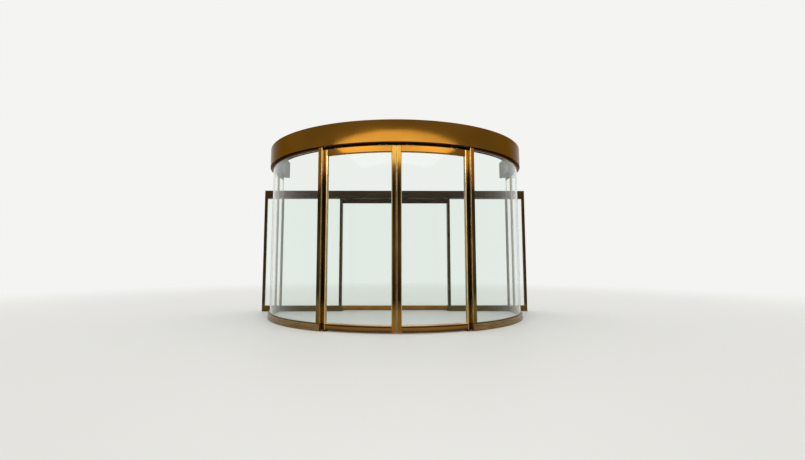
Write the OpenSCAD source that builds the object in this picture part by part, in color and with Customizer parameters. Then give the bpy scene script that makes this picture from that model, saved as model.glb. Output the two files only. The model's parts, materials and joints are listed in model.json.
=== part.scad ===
// Half-round glass entrance: two curved sliding leaves in front, a flat screen
// with two straight sliding leaves behind. All sizes in millimetres, +Z up.
// Angles along the drum are counted from the middle of the front.

/* [Drum] */
// Radius of the curved glass, to its outer face
glass_r = 2005; // [1800:5:2200]
// Thickness of the curved glass and of the return glass
side_glass_t = 12; // [10:1:14]
// Depth of the straight returns, from the drum's axis to the screen
return_d = 290; // [250:10:360]
// Butt joint between the curve and a straight return
butt_gap = 0.5; // [0.2:0.1:0.8]
// Overall height
overall_h = 2615; // [2500:5:2800]

/* [Fascia] */
// Height of the fascia
fascia_h = 280; // [250:5:320]
// Thickness of the fascia's sheet
fascia_t = 3; // [2:0.5:4]
// How far the fascia stands out from the glass
fascia_out = 45; // [32:1:60]
// Lap of the lip folded back at the top over the header
fascia_lip = 17; // [14:1:24]
// Gap between the lip folded back at the bottom and the head channel
lip_gap = 2; // [1:0.5:6]

/* [Header] */
// Thickness of the header's plates
header_t = 6; // [4:1:8]
// Gap between the fascia's sheet and the header
header_gap = 6; // [4:1:10]
// Lap of the header's floor under the leaf's inner face
slot_lap = 3; // [1:0.5:5]
// Room in the header, inwards from the leaf's inner face
header_room = 46; // [40:1:60]
// Height of the channel that holds the head of the glass
channel_h = 35; // [28:1:45]
// Thickness of the walls of the glazing channels
channel_t = 6; // [4:1:8]
// Seam between the channel and the header that it is screwed to
channel_seam = 0.2; // [0.1:0.1:0.5]
// Clearance on each side of a pane in its groove
glaze_gap = 2; // [1:0.5:3]
// Depth of the glazing grooves
groove_d = 18; // [14:1:22]

/* [Base] */
// Height of the base ring
base_h = 85; // [70:5:110]
// How far the base ring stands out from the glass
base_out = 26; // [24:1:50]
// Height of the glazing strip on the base ring
strip_h = 12; // [8:1:20]
// Chamfer on the base ring's upper edge
base_chamfer = 5; // [2:1:8]

/* [Posts] */
// Angle from the middle of the front to a jamb's inner edge
jamb_a = 28.2; // [26:0.2:32]
// Width of the jambs
jamb_w = 63; // [50:1:80]
// How far posts and jambs stand out from the glass
post_out = 24; // [18:1:28]
// Width of the posts at the drum's ends
end_post_w = 60; // [50:1:80]
// Chamfer on the edges of posts, stiles and rails
edge_chamfer = 6; // [3:1:8]

/* [Front leaves] */
// Radial clearance between the leaves and the fixed sides
leaf_clear = 8; // [6:1:12]
// Thickness of the leaves
leaf_t = 55; // [45:1:60]
// Gap between the two meeting stiles
meeting_gap = 6; // [6:1:8]
// Gap under the leaves
floor_gap = 12; // [11:1:15]
// Gap between the leaves and the underside of the fascia
head_gap = 29; // [14:1:40]
// Width of the meeting stiles
meeting_w = 57; // [50:1:80]
// Width of the trailing stiles
trailing_w = 66; // [55:1:90]
// Overlap of the trailing stiles behind the jambs
overlap_w = 24; // [15:1:35]
// Height of the leaves' top rails
top_rail_h = 80; // [70:1:110]
// Height of the leaves' bottom rails
bottom_rail_h = 86; // [75:1:120]
// Thickness of the glass in all leaves
leaf_glass_t = 10; // [8:1:12]
// Angle that each curved leaf slides
slide_a = 25.4; // [20:0.2:25.4]

/* [Screen] */
// Width of the glass on each side of the drum
outer_light_w = 238; // [180:2:360]
// Height of the flat screen
screen_h = 2110; // [2060:5:2200]
// Depth of the screen's frame
frame_d = 50; // [40:1:60]
// Height of the screen's header
beam_h = 130; // [120:1:160]
// Depth of the screen's header with the cover behind it
beam_d = 150; // [140:1:180]
// Thickness of the sheet of the screen's header and its cover
beam_t = 4; // [3:0.5:6]
// Seams between the plates of that cover
cover_seam = 0.3; // [0.2:0.1:0.6]
// Distance between the door posts
door_w = 1860; // [1700:10:2000]
// Width of the door posts
door_post_w = 44; // [40:1:60]
// Width of the posts behind the drum's returns
mullion_w = 44; // [40:1:60]
// Width of the screen's end posts
wall_post_w = 43; // [35:1:60]
// Height of the screen's bottom rails
sill_h = 95; // [70:1:110]
// Thickness of the screen's fixed glass
screen_glass_t = 10; // [8:1:12]

/* [Inner leaves] */
// Gap between the inner leaves and the screen's posts
inner_clear = 12; // [8:1:16]
// Thickness of the inner leaves
inner_t = 40; // [36:1:46]
// Width of the inner leaves' stiles
inner_stile_w = 44; // [40:1:60]
// Overlap of the inner leaves behind the door posts
inner_overlap = 44; // [30:1:50]
// Gap between the inner leaves and the header above
inner_head_gap = 8; // [6:1:12]
// Height of the inner leaves' top rails
inner_top_h = 76; // [60:1:100]
// Height of the inner leaves' bottom rails
inner_bottom_h = 76; // [60:1:100]
// Length that each inner leaf slides
inner_slide = 870; // [700:10:880]

/* [Running gear] */
// Width of the head of the rails
rail_w = 8; // [6:1:10]
// Height of the curved rail over the header's floor
rail_up = 112; // [104:2:120]
// Height of the bracket that carries the curved rail
bracket_h = 100; // [80:5:110]
// Thickness of that bracket
bracket_t = 6; // [4:1:8]
// Packing between the bracket and the header
bracket_seam = 0.3; // [0.2:0.1:0.6]
// Thickness of the shelf between a bracket and its rail
shelf_t = 8; // [6:1:10]
// Distance of the curved rail outwards from the leaves' middle
rail_off = 14; // [12:1:16]
// Tread radius of the rollers on the curved track
roller_r = 20; // [16:1:24]
// Tread radius of the rollers on the straight track
inner_roller_r = 15; // [12:1:17]
// Width of the rollers
roller_w = 18; // [14:1:20]
// Depth of the rollers' groove
flange_d = 4; // [3:0.5:5]
// Gap between a roller's tread and its rail
tread_gap = 0.3; // [0.2:0.1:0.5]
// Thickness of the hanger plates
hanger_t = 6; // [5:1:8]
// Width of the hanger plates
hanger_w = 120; // [90:5:160]
// Height of the hanger plates over the rollers' axles
plate_up = 22; // [14:1:26]
// Distance of the hanger plates inwards from the leaves' middle
plate_off = 10; // [8:1:12]
// Distance of the hangers' feet outwards from the leaves' middle
foot_out = 12; // [8:1:16]
// Share of the hanger plate's half width at which the rollers sit
roller_at = 0.6; // [0.5:0.05:0.65]
// Diameter of the rollers' axles
axle_d = 12; // [8:1:14]
// Angle from the middle to the first and the second hanger
hanger_a = [5, 22.5];
// Share of the inner leaf's width at which its hangers sit
inner_hanger_f = [0.17, 0.83];
// Distance of the straight rail inwards from the inner leaves' middle
inner_rail_off = 12; // [10:1:14]
// Height of the straight rail over its shelf
inner_rail_h = 14; // [10:1:16]
// Thickness of the straight rail's bracket and shelf
inner_bracket_t = 6; // [4:1:8]
// Gap between the inner rollers and the bracket behind them
bracket_clear = 9; // [5:1:12]
// Room over the inner rollers
inner_head_room = 14; // [6:1:16]
// Gap between a hanger at the end of its way and the stop, with room for a buffer
stop_gap = 14; // [8:1:20]
// Length of the stops on the rails
stop_l = 40; // [25:5:60]
// Width of the stops on the rails
stop_w = 26; // [20:1:30]
// Length of the rails past the last stop
rail_end = 10; // [5:1:30]
// Lap of the plates that close the header's slot past the rail
cover_lap = 10; // [6:1:14]
// Thickness of the floor guides' plates
guide_t = 5; // [3:1:5]
// Length of the floor guides
guide_l = 70; // [50:5:80]
// Thickness of the floor guides' fins
guide_fin = 8; // [6:1:10]
// Height that the fins reach into the leaves
guide_in = 20; // [15:1:25]
// Clearance on each side of a fin in its groove
guide_clear = 6; // [5:0.5:8]
// Clearance over a fin in its groove
guide_room = 10; // [5:1:15]
// Reach of the curved guides' plates under the fixed sides
guide_lap = 20; // [10:1:25]

/* [Hidden] */
$fn = 64;
// Facets of a full turn along the drum
sweep_fn = 240;
// How far cuts run past the faces that they open, and the same in degrees
past = 1;
past_a = 1;

brass = "#b8894a";
dark_bronze = "#4a3a2a";
clear_glass = "#b9cfc6";
steel = "#8e9092";

// Radii, from the glass inwards and outwards
glass_in = glass_r - side_glass_t;
channel_in = glass_in - glaze_gap - channel_t;
channel_out = glass_r + glaze_gap + channel_t;
fascia_r = glass_r + fascia_out;
base_r = glass_r + base_out;
post_r = glass_r + post_out;
leaf_out = channel_in - leaf_clear;
leaf_in = leaf_out - leaf_t;
leaf_mid = (leaf_in + leaf_out) / 2;
shell_out = fascia_r - fascia_t - header_gap;
shell_web = shell_out - header_t;
slot_in = leaf_in + slot_lap;
header_in = leaf_in - header_room;

// Levels
fascia_z = overall_h - fascia_h;
soffit_z = fascia_z + fascia_t;
shell_top = overall_h - fascia_t;
channel_z = soffit_z - channel_h;
strip_top = base_h + strip_h;
leaf_top = fascia_z - head_gap;
side_glass_z = strip_top - groove_d - glaze_gap;
side_glass_top = channel_z + groove_d;

// Angles along the drum
function arc_deg(w, r) = w / r * 180 / PI;
jamb_out_a = jamb_a + arc_deg(jamb_w, glass_r);
end_post_a = 90 - arc_deg(end_post_w / 2, glass_r);
leaf_a0 = arc_deg(meeting_gap / 2, leaf_in);
leaf_a1 = jamb_a + arc_deg(overlap_w, leaf_out);
meeting_a = leaf_a0 + arc_deg(meeting_w, leaf_mid);
trailing_a = leaf_a1 - arc_deg(trailing_w, leaf_mid);

// The row stands on the middle of its footprint
drum_y = (fascia_r - return_d - beam_d) / 2;

// Screen, along Y behind the drum's axis
frame_y = return_d;
frame_back = frame_y + frame_d;
beam_z = screen_h - beam_h;
inner_y = frame_back + inner_clear;
inner_mid = inner_y + inner_t / 2;
pane_y = frame_y + frame_d / 2;
mullion_x = (channel_in + channel_out) / 2;
wall_post_x = mullion_x + mullion_w / 2 + outer_light_w;
screen_x = wall_post_x + wall_post_w;
inner_top = beam_z - inner_head_gap;
inner_x0 = meeting_gap / 2;
inner_x1 = door_w / 2 + inner_overlap;

// Curved running gear
rail_r = leaf_mid + rail_off;
rail_z = soffit_z + rail_up;
shelf_z = rail_z - 2 * rail_w - shelf_t;
roller_z = rail_z + roller_r + tread_gap;
plate_r = leaf_mid - plate_off;
hanger_half_a = arc_deg(hanger_w / 2, leaf_mid);
middle_stop_a = hanger_a[0] - hanger_half_a - arc_deg(stop_gap, rail_r);
end_stop_a = hanger_a[1] + hanger_half_a + slide_a + arc_deg(stop_gap, rail_r);
stop_a = arc_deg(stop_l, rail_r);
track_a = end_stop_a + stop_a + arc_deg(rail_end, rail_r);

// Straight running gear
inner_w = inner_x1 - inner_x0;
inner_rail_y = inner_mid + inner_rail_off;
inner_rail_z = screen_h - beam_t - inner_head_room - 2 * inner_roller_r - flange_d;
inner_shelf_z = inner_rail_z - inner_rail_h - inner_bracket_t;
inner_roller_z = inner_rail_z + inner_roller_r + tread_gap;
inner_plate_y = inner_mid - plate_off;
middle_stop_x = inner_x0 + inner_hanger_f[0] * inner_w - hanger_w / 2 - stop_gap;
end_stop_x = inner_x0 + inner_hanger_f[1] * inner_w + hanger_w / 2 + inner_slide + stop_gap;
inner_track_x = end_stop_x + stop_l + rail_end;

// Guides on the floor
guide_slot = guide_fin + 2 * guide_clear;
guide_h = floor_gap + guide_in;

module about_drum() {
  translate([0, drum_y, 0]) children();
}

// Sweeps a profile of radius and height along the drum
module arc_run(a0, a1) {
  rotate([0, 0, a0 - 90]) rotate_extrude(angle = a1 - a0, $fn = sweep_fn) children();
}

// Sweeps it along the side of the drum and, past a butt joint, along the straight return
module side_run(a0) {
  arc_run(a0, 90) children();
  translate([0, return_d, 0]) rotate([90, 0, 0]) linear_extrude(return_d - butt_gap) children();
}

module arc_block(r0, r1, z0, z1, a0, a1) {
  arc_run(a0, a1) translate([r0, z0]) square([r1 - r0, z1 - z0]);
}

module box(x0, x1, y0, y1, z0, z1) {
  translate([x0, y0, z0]) cube([x1 - x0, y1 - y0, z1 - z0]);
}

module rect(x0, x1, y0, y1) {
  translate([x0, y0]) square([x1 - x0, y1 - y0]);
}

// A square bar along +Z that takes a chamfer off an upright edge on its middle line
module chamfer_bar(z0, z1) {
  w = edge_chamfer * sqrt(2);
  translate([0, 0, z0 - past]) rotate([0, 0, 45])
    translate([-w / 2, -w / 2, 0]) cube([w, w, z1 - z0 + 2 * past]);
}

// The same, at a radius and an angle along the drum
module edge_cut(r, a, z0, z1) {
  rotate([0, 0, a - 90]) translate([r, 0, 0]) chamfer_bar(z0, z1);
}

module left_side() {
  mirror([1, 0, 0]) children();
}

module both_sides() {
  children();
  mirror([1, 0, 0]) children();
}

// Profiles, radius by height

module fascia_profile() {
  rect(fascia_r - fascia_t, fascia_r, fascia_z, overall_h);
  rect(channel_out + lip_gap, fascia_r, fascia_z, fascia_z + fascia_t);
  rect(shell_out - fascia_lip, fascia_r, overall_h - fascia_t, overall_h);
}

module header_profile() {
  rect(shell_web, shell_out, soffit_z, shell_top);
  rect(header_in, shell_out, shell_top - header_t, shell_top);
  rect(header_in, header_in + header_t, soffit_z, shell_top);
  rect(channel_in, shell_out, soffit_z, soffit_z + header_t);
  rect(header_in, slot_in, soffit_z, soffit_z + header_t);
}

module base_profile() {
  difference() {
    union() {
      polygon([
        [channel_in, 0], [base_r, 0], [base_r, base_h - base_chamfer],
        [base_r - base_chamfer, base_h], [channel_in, base_h]]);
      rect(channel_in, channel_out, base_h, strip_top);
    }
    rect(glass_in - glaze_gap, glass_r + glaze_gap, side_glass_z, strip_top + past);
  }
}

module channel_profile() {
  difference() {
    rect(channel_in, channel_out, channel_z, soffit_z - channel_seam);
    rect(glass_in - glaze_gap, glass_r + glaze_gap, channel_z - past, side_glass_top + glaze_gap);
  }
}

module track_profile() {
  bracket_r = shell_web - bracket_seam;
  rect(bracket_r - bracket_t, bracket_r, rail_z - bracket_h / 2, rail_z + bracket_h / 2);
  rect(rail_r - rail_w / 2, bracket_r, shelf_z, shelf_z + shelf_t);
  rect(rail_r - rail_w / 2, rail_r + rail_w / 2, shelf_z, rail_z - rail_w / 2);
  translate([rail_r, rail_z - rail_w / 2]) circle(d = rail_w);
}

// Fascia and header

module fascia_front() {
  color(brass) about_drum() arc_run(-jamb_a, jamb_a) fascia_profile();
}

module fascia_side() {
  color(brass) about_drum() side_run(jamb_a) fascia_profile();
}

module header_front() {
  color(dark_bronze) about_drum() arc_run(-jamb_a, jamb_a) header_profile();
}

// Past the rail, plates close the slot, and one closes the end of the header
module header_side() {
  cover_z = soffit_z + header_t;
  color(dark_bronze) about_drum() {
    side_run(jamb_a) header_profile();
    arc_block(slot_in - cover_lap, channel_in + cover_lap, cover_z, cover_z + header_t, track_a, 90);
    box(slot_in - cover_lap, channel_in + cover_lap, butt_gap, return_d, cover_z, cover_z + header_t);
    box(header_in + header_t, shell_web, return_d - header_t, return_d, cover_z, shell_top - header_t);
  }
}

module track_stop(a0) {
  arc_block(rail_r - stop_w / 2, rail_r + stop_w / 2, shelf_z + shelf_t, roller_z, a0, a0 + stop_a);
}

module curved_track() {
  color(steel) about_drum() {
    arc_run(-track_a, track_a) track_profile();
    both_sides() {
      track_stop(middle_stop_a - stop_a);
      track_stop(end_stop_a);
    }
  }
}

module head_channel() {
  color(dark_bronze) about_drum() side_run(jamb_out_a) channel_profile();
}

// Base, posts and fixed glass

module base_side() {
  color(brass) about_drum() side_run(jamb_a) base_profile();
}

module jamb() {
  color(brass) about_drum() difference() {
    arc_block(channel_in, post_r, strip_top, fascia_z, jamb_a, jamb_out_a);
    arc_block(glass_in - glaze_gap, glass_r + glaze_gap, strip_top - past, soffit_z + past,
      jamb_out_a - arc_deg(groove_d, glass_r), jamb_out_a + past_a);
    edge_cut(post_r, jamb_a, strip_top, fascia_z);
    edge_cut(post_r, jamb_out_a, strip_top, fascia_z);
  }
}

module end_post() {
  color(brass) about_drum() {
    difference() {
      box(channel_in, post_r, -end_post_w / 2, end_post_w / 2, strip_top, channel_z);
      box(glass_in - glaze_gap, glass_r + glaze_gap, end_post_w / 2 - groove_d,
        end_post_w / 2 + past, strip_top - past, soffit_z + past);
      arc_block(glass_in - glaze_gap, glass_r + glaze_gap, strip_top - past, soffit_z + past,
        end_post_a - past_a, end_post_a + arc_deg(groove_d, glass_r));
      for (y = [-end_post_w / 2, end_post_w / 2]) {
        translate([post_r, y, 0]) chamfer_bar(strip_top, channel_z);
      }
    }
  }
}

module side_glass() {
  color(clear_glass, 0.4) about_drum() arc_block(glass_in, glass_r, side_glass_z, side_glass_top,
    jamb_out_a - arc_deg(groove_d - glaze_gap, glass_r),
    end_post_a + arc_deg(groove_d - 2 * glaze_gap, glass_r));
}

module return_glass() {
  color(clear_glass, 0.4) about_drum() box(glass_in, glass_r,
    end_post_w / 2 - groove_d + glaze_gap, return_d, side_glass_z, side_glass_top);
}

// Front leaves, right-hand leaf

module leaf_stile(a0, a1, groove_a0, groove_a1) {
  difference() {
    arc_block(leaf_in, leaf_out, floor_gap, leaf_top, a0, a1);
    arc_block(leaf_mid - leaf_glass_t / 2 - glaze_gap, leaf_mid + leaf_glass_t / 2 + glaze_gap,
      floor_gap + bottom_rail_h - groove_d, leaf_top - top_rail_h + groove_d, groove_a0, groove_a1);
    arc_block(leaf_mid - guide_slot / 2, leaf_mid + guide_slot / 2,
      floor_gap - past, guide_h + guide_room, a0 - past_a, a1 + past_a);
    for (a = [a0, a1]) {
      edge_cut(leaf_in, a, floor_gap, leaf_top);
      edge_cut(leaf_out, a, floor_gap, leaf_top);
    }
  }
}

module leaf_stiles() {
  groove_a = arc_deg(groove_d, leaf_mid);
  color(brass) about_drum() {
    leaf_stile(leaf_a0, meeting_a, meeting_a - groove_a, meeting_a + past_a);
    leaf_stile(trailing_a, leaf_a1, trailing_a - past_a, trailing_a + groove_a);
  }
}

// Profile of a rail from its far edge to the chamfered and grooved edge at the glass
module rail_profile(far_z, glass_z) {
  up = glass_z > far_z ? 1 : -1;
  groove_in = leaf_mid - leaf_glass_t / 2 - glaze_gap;
  groove_out = leaf_mid + leaf_glass_t / 2 + glaze_gap;
  polygon([
    [leaf_in, far_z], [leaf_out, far_z], [leaf_out, glass_z - up * edge_chamfer],
    [leaf_out - edge_chamfer, glass_z], [groove_out, glass_z], [groove_out, glass_z - up * groove_d],
    [groove_in, glass_z - up * groove_d], [groove_in, glass_z], [leaf_in + edge_chamfer, glass_z],
    [leaf_in, glass_z - up * edge_chamfer]]);
}

module leaf_top_rail() {
  color(brass) about_drum() arc_run(meeting_a, trailing_a)
    rail_profile(leaf_top, leaf_top - top_rail_h);
}

module leaf_bottom_rail() {
  color(brass) about_drum() difference() {
    arc_run(meeting_a, trailing_a) rail_profile(floor_gap, floor_gap + bottom_rail_h);
    arc_block(leaf_mid - guide_slot / 2, leaf_mid + guide_slot / 2,
      floor_gap - past, guide_h + guide_room, meeting_a - past_a, trailing_a + past_a);
  }
}

module leaf_glass() {
  edge_a = arc_deg(groove_d - glaze_gap, leaf_mid);
  color(clear_glass, 0.4) about_drum() arc_block(
    leaf_mid - leaf_glass_t / 2, leaf_mid + leaf_glass_t / 2,
    floor_gap + bottom_rail_h - groove_d, leaf_top - top_rail_h + groove_d - glaze_gap,
    meeting_a - edge_a, trailing_a + edge_a);
}

// A grooved roller with its axle along +X, from the tread's middle to the plate
module roller(r, axle_l) {
  rotate([0, 90, 0]) rotate_extrude() polygon([
    [0, -roller_w / 2], [r + flange_d, -roller_w / 2], [r, -rail_w / 2 - tread_gap],
    [r, rail_w / 2 + tread_gap], [r + flange_d, roller_w / 2], [0, roller_w / 2]]);
  rotate([0, -90, 0]) cylinder(h = axle_l, d = axle_d);
}

module leaf_hangers() {
  half_a = hanger_half_a;
  color(steel) about_drum() for (a = hanger_a) {
    arc_block(plate_r - hanger_t / 2, plate_r + hanger_t / 2, leaf_top, roller_z + plate_up,
      a - half_a, a + half_a);
    arc_block(plate_r - hanger_t / 2, leaf_mid + foot_out, leaf_top, leaf_top + hanger_t,
      a - half_a, a + half_a);
    for (s = [-1, 1]) {
      rotate([0, 0, a - 90 + s * half_a * roller_at]) translate([rail_r, 0, roller_z])
        roller(roller_r, rail_r - plate_r + hanger_t);
    }
  }
}

// Flat screen

// A tube over the posts, with slots for the glass in its underside
module screen_header() {
  color(dark_bronze) about_drum() difference() {
    box(-screen_x, screen_x, frame_y, frame_back, beam_z, screen_h);
    box(-screen_x + beam_t, screen_x - beam_t, frame_y + beam_t, frame_back - beam_t,
      beam_z + beam_t, screen_h - beam_t);
    both_sides() box(door_w / 2, wall_post_x + groove_d,
      pane_y - screen_glass_t / 2 - glaze_gap, pane_y + screen_glass_t / 2 + glaze_gap,
      beam_z - past, beam_z + beam_t + past);
  }
}

// Plates that cover the inner leaves' track, open below along their way
module operator_cover() {
  x = screen_x - beam_t - cover_seam;
  y1 = frame_y + beam_d;
  inside_y = y1 - beam_t - cover_seam;
  color(dark_bronze) about_drum() {
    box(-x, x, frame_back, inside_y, screen_h - beam_t, screen_h);
    box(-x, x, y1 - beam_t, y1, beam_z, screen_h);
    box(-x, x, inner_y + inner_t, inside_y, beam_z, beam_z + beam_t);
    both_sides() box(screen_x - beam_t, screen_x, frame_back, y1, beam_z, screen_h);
  }
}

// A post from x0 to x1, with a glazing groove down one or both edges
module screen_post(x0, x1, groove_0, groove_1) {
  y0 = pane_y - screen_glass_t / 2 - glaze_gap;
  y1 = pane_y + screen_glass_t / 2 + glaze_gap;
  difference() {
    box(x0, x1, frame_y, frame_back, 0, beam_z);
    if (groove_0) box(x0 - past, x0 + groove_d, y0, y1, sill_h - groove_d, beam_z + past);
    if (groove_1) box(x1 - groove_d, x1 + past, y0, y1, sill_h - groove_d, beam_z + past);
  }
}

module screen_posts() {
  color(dark_bronze) about_drum() both_sides() {
    screen_post(door_w / 2, door_w / 2 + door_post_w, false, true);
    screen_post(wall_post_x, screen_x, true, false);
  }
}

// The posts behind the drum's returns
module mullions() {
  color(brass) about_drum() both_sides()
    screen_post(mullion_x - mullion_w / 2, mullion_x + mullion_w / 2, true, true);
}

module screen_sill(x0, x1) {
  y0 = pane_y - screen_glass_t / 2 - glaze_gap;
  y1 = pane_y + screen_glass_t / 2 + glaze_gap;
  difference() {
    box(x0, x1, frame_y, frame_back, 0, sill_h);
    box(x0 - past, x1 + past, y0, y1, sill_h - groove_d, sill_h + past);
  }
}

module screen_sills() {
  color(dark_bronze) about_drum() both_sides() {
    screen_sill(door_w / 2 + door_post_w, mullion_x - mullion_w / 2);
    screen_sill(mullion_x + mullion_w / 2, wall_post_x);
  }
}

module screen_pane(x0, x1) {
  edge = groove_d - glaze_gap;
  box(x0 - edge, x1 + edge, pane_y - screen_glass_t / 2, pane_y + screen_glass_t / 2,
    sill_h - groove_d, beam_z + groove_d);
}

module sidelight_glass() {
  color(clear_glass, 0.4) about_drum() both_sides()
    screen_pane(door_w / 2 + door_post_w, mullion_x - mullion_w / 2);
}

module outer_light_glass() {
  color(clear_glass, 0.4) about_drum() both_sides()
    screen_pane(mullion_x + mullion_w / 2, wall_post_x);
}

module screen_track() {
  x = inner_track_x;
  bracket_y = inner_rail_y + roller_w / 2 + bracket_clear;
  shelf_top = inner_shelf_z + inner_bracket_t;
  color(steel) about_drum() {
    box(-x, x, bracket_y, bracket_y + inner_bracket_t, inner_shelf_z, screen_h - beam_t);
    box(-x, x, inner_rail_y - rail_w / 2, bracket_y + inner_bracket_t, inner_shelf_z, shelf_top);
    box(-x, x, inner_rail_y - rail_w / 2, inner_rail_y + rail_w / 2,
      inner_shelf_z, inner_rail_z - rail_w / 2);
    translate([-x, inner_rail_y, inner_rail_z - rail_w / 2]) rotate([0, 90, 0])
      cylinder(h = 2 * x, d = rail_w);
    both_sides() for (x0 = [middle_stop_x - stop_l, end_stop_x]) {
      box(x0, x0 + stop_l, inner_rail_y - stop_w / 2, inner_rail_y + stop_w / 2,
        shelf_top, inner_roller_z);
    }
  }
}

// Inner leaves, right-hand leaf

module inner_frame() {
  y0 = inner_mid - leaf_glass_t / 2 - glaze_gap;
  y1 = inner_mid + leaf_glass_t / 2 + glaze_gap;
  z0 = floor_gap + inner_bottom_h;
  z1 = inner_top - inner_top_h;
  x0 = inner_x0 + inner_stile_w;
  x1 = inner_x1 - inner_stile_w;
  color(dark_bronze) about_drum() difference() {
    box(inner_x0, inner_x1, inner_y, inner_y + inner_t, floor_gap, inner_top);
    box(x0, x1, inner_y - past, inner_y + inner_t + past, z0, z1);
    box(x0 - groove_d, x1 + groove_d, y0, y1, z0 - groove_d, z1 + groove_d);
    box(inner_x0 - past, inner_x1 + past, inner_mid - guide_slot / 2, inner_mid + guide_slot / 2,
      floor_gap - past, guide_h + guide_room);
  }
}

module inner_glass() {
  edge = groove_d - glaze_gap;
  color(clear_glass, 0.4) about_drum() box(
    inner_x0 + inner_stile_w - edge, inner_x1 - inner_stile_w + edge,
    inner_mid - leaf_glass_t / 2, inner_mid + leaf_glass_t / 2,
    floor_gap + inner_bottom_h - groove_d, inner_top - inner_top_h + edge);
}

module inner_hangers() {
  color(steel) about_drum() for (f = inner_hanger_f) translate([inner_x0 + f * inner_w, 0, 0]) {
    box(-hanger_w / 2, hanger_w / 2, inner_plate_y - hanger_t / 2, inner_plate_y + hanger_t / 2,
      inner_top, inner_roller_z + inner_roller_r);
    box(-hanger_w / 2, hanger_w / 2, inner_plate_y - hanger_t / 2, inner_mid + foot_out,
      inner_top, inner_top + hanger_t);
    for (s = [-1, 1]) {
      translate([s * roller_at * hanger_w / 2, inner_rail_y, inner_roller_z]) rotate([0, 0, 90])
        roller(inner_roller_r, inner_rail_y - inner_plate_y + hanger_t);
    }
  }
}

// Guides on the floor that the leaves' bottom grooves run over

module floor_guides() {
  a0 = jamb_a - arc_deg(guide_l, leaf_mid);
  x0 = inner_x1 - guide_l;
  color(steel) about_drum() both_sides() {
    arc_block(leaf_in, channel_in + guide_lap, 0, guide_t, a0, jamb_a);
    arc_block(leaf_mid - guide_fin / 2, leaf_mid + guide_fin / 2, 0, guide_h, a0, jamb_a);
    box(x0, x0 + guide_l, frame_back, inner_y + inner_t, 0, guide_t);
    box(x0, x0 + guide_l, inner_mid - guide_fin / 2, inner_mid + guide_fin / 2, 0, guide_h);
  }
}

fascia_front();
left_side() fascia_side();  // fascia_left
fascia_side();  // fascia_right
header_front();
left_side() header_side();  // header_left
header_side();  // header_right
curved_track();
left_side() base_side();  // base_left
base_side();  // base_right
left_side() head_channel();  // head_channel_left
head_channel();  // head_channel_right
left_side() jamb();  // jamb_left
jamb();  // jamb_right
left_side() end_post();  // end_post_left
end_post();  // end_post_right
left_side() side_glass();  // side_glass_left
side_glass();  // side_glass_right
left_side() return_glass();  // return_glass_left
return_glass();  // return_glass_right
screen_header();
operator_cover();
screen_posts();
mullions();
screen_sills();
sidelight_glass();
outer_light_glass();
screen_track();
floor_guides();
left_side() leaf_top_rail();  // leaf_left_top_rail
left_side() leaf_bottom_rail();  // leaf_left_bottom_rail
left_side() leaf_stiles();  // leaf_left_stiles
left_side() leaf_glass();  // leaf_left_glass
left_side() leaf_hangers();  // leaf_left_hangers
leaf_top_rail();  // leaf_right_top_rail
leaf_bottom_rail();  // leaf_right_bottom_rail
leaf_stiles();  // leaf_right_stiles
leaf_glass();  // leaf_right_glass
leaf_hangers();  // leaf_right_hangers
left_side() inner_frame();  // inner_left_frame
left_side() inner_glass();  // inner_left_glass
left_side() inner_hangers();  // inner_left_hangers
inner_frame();  // inner_right_frame
inner_glass();  // inner_right_glass
inner_hangers();  // inner_right_hangers
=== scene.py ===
"""Looks of a half-round glass entrance: metal and glass finishes, seals, brushes, fasteners and light."""

import json
import math

import bmesh
import bpy
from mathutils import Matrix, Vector


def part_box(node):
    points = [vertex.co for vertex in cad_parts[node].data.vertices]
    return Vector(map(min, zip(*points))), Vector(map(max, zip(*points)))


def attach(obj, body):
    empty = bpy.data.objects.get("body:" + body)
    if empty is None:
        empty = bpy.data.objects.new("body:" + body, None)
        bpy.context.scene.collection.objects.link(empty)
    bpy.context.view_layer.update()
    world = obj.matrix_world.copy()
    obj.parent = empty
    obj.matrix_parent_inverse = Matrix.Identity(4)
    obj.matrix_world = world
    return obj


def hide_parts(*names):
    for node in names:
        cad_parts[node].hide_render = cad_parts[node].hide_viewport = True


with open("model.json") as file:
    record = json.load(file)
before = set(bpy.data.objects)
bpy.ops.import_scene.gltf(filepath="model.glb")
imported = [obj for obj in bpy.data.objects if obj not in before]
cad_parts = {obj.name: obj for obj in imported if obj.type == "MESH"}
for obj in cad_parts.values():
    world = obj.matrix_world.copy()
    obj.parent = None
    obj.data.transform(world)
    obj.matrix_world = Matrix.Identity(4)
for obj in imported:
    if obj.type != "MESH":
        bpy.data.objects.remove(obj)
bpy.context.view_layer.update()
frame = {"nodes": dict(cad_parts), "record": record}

RECORD = frame["record"]
BODY_OF = {n: body for body, nodes in RECORD["behaviour"]["bodies"].items() for n in nodes}
SIDES = {"left": -1, "right": 1}
MM = 0.001
RIGHT, BACK, UP = Vector((1, 0, 0)), Vector((0, 1, 0)), Vector((0, 0, 1))

# The photograph's camera: place in metres, angles in degrees, lens and sensor in millimetres
CAMERA_AT = Vector((-0.070, -6.300, 0.875))
CAMERA_PITCH = 5.51
CAMERA_YAW = 0.44
CAMERA_LENS = 18.79
CAMERA_SENSOR = 36.0
CAMERA_SHIFT = (0.0104, -0.0125)


def linear(hex_code):
    """An sRGB hex value as linear RGBA."""
    channels = [int(hex_code[i:i + 2], 16) / 255 for i in (1, 3, 5)]
    return (*[c / 12.92 if c <= 0.04045 else ((c + 0.055) / 1.055) ** 2.4 for c in channels], 1.0)


def add_node(tree, kind, inputs=None, **settings):
    """Adds a node. inputs gives sockets their values, or the sockets that they are linked from."""
    node = tree.nodes.new(kind)
    for name, value in settings.items():
        setattr(node, name, value)
    for key, value in (inputs or {}).items():
        if isinstance(value, bpy.types.NodeSocket):
            tree.links.new(value, node.inputs[key])
        else:
            node.inputs[key].default_value = value
    return node


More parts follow.
